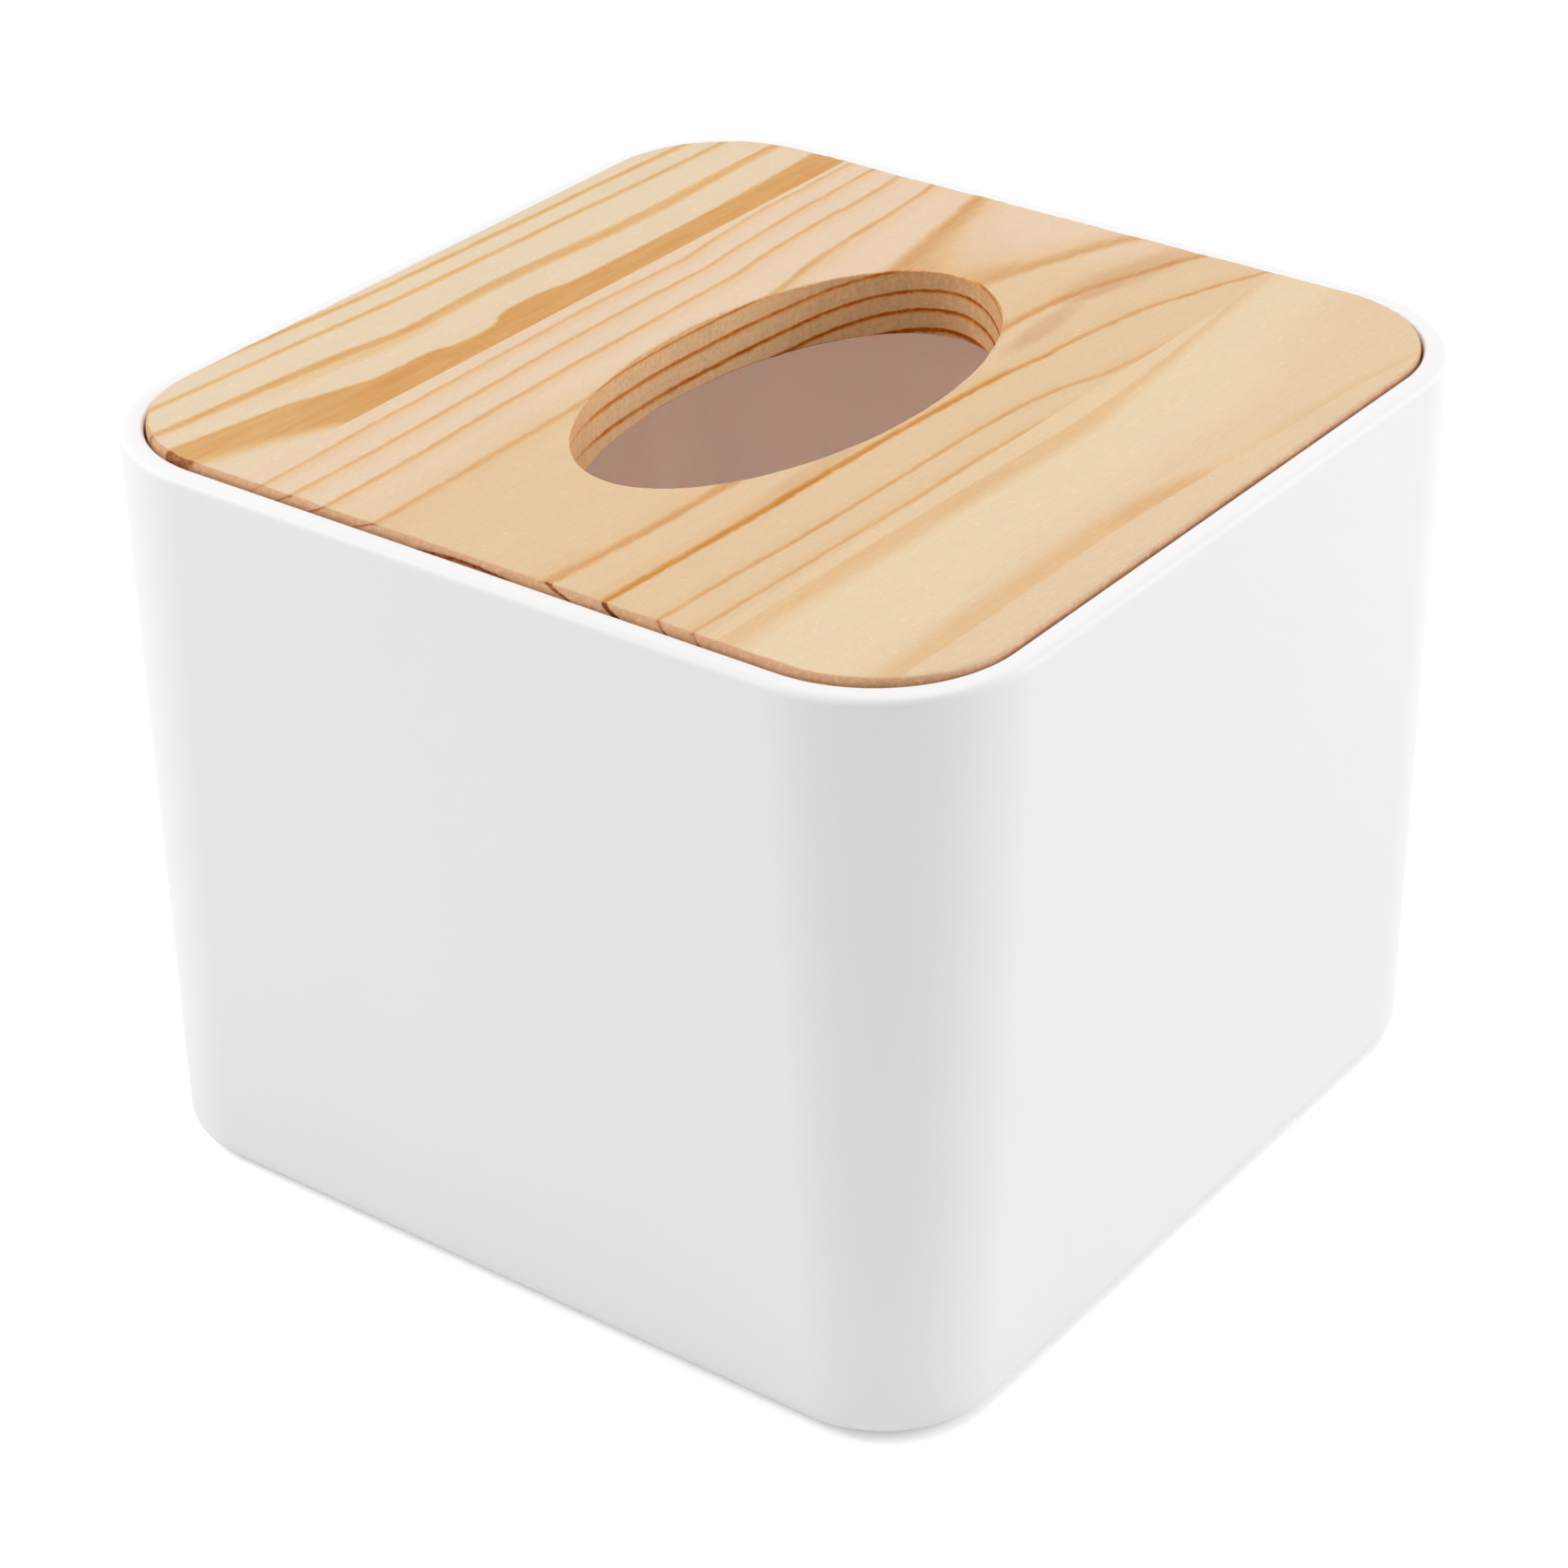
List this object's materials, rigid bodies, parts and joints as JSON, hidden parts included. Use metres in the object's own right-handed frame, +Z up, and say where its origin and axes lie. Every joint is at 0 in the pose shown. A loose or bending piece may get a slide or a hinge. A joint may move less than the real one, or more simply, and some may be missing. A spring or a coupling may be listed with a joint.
{
  "type": "tissue box cover",
  "caption": "Square tissue box cover: a white moulded tub with rounded corners and a drop-in wooden lid that has an oval slot for pulling tissues through.",
  "frame": {"origin": "middle of the foot, on the surface that the tub stands on", "axes": "+Z up, out of the slot; +X along the slot and the grain of the lid; -Y the front"},
  "size_m": [0.13, 0.13, 0.1022],
  "materials": {
    "moulded_abs": "satin, as moulded",
    "pine_back": "creamy yellow pine, sanded, no lacquer",
    "pine_middle": "peach-coloured pine, flat-sawn, sanded, no lacquer",
    "pine_front": "straw-coloured pine, sanded, no lacquer"
  },
  "bodies": {
    "tub": {"tub": "moulded_abs"},
    "lid": {"lid_board_back": "pine_back", "lid_board_middle": "pine_middle", "lid_board_front": "pine_front"}
  },
  "joints": [
    {"name": "lid_lift", "type": "slide", "parent": "tub", "child": "lid", "axis": [0, 0, 1], "range_m": [0, 0.03]}
  ]
}
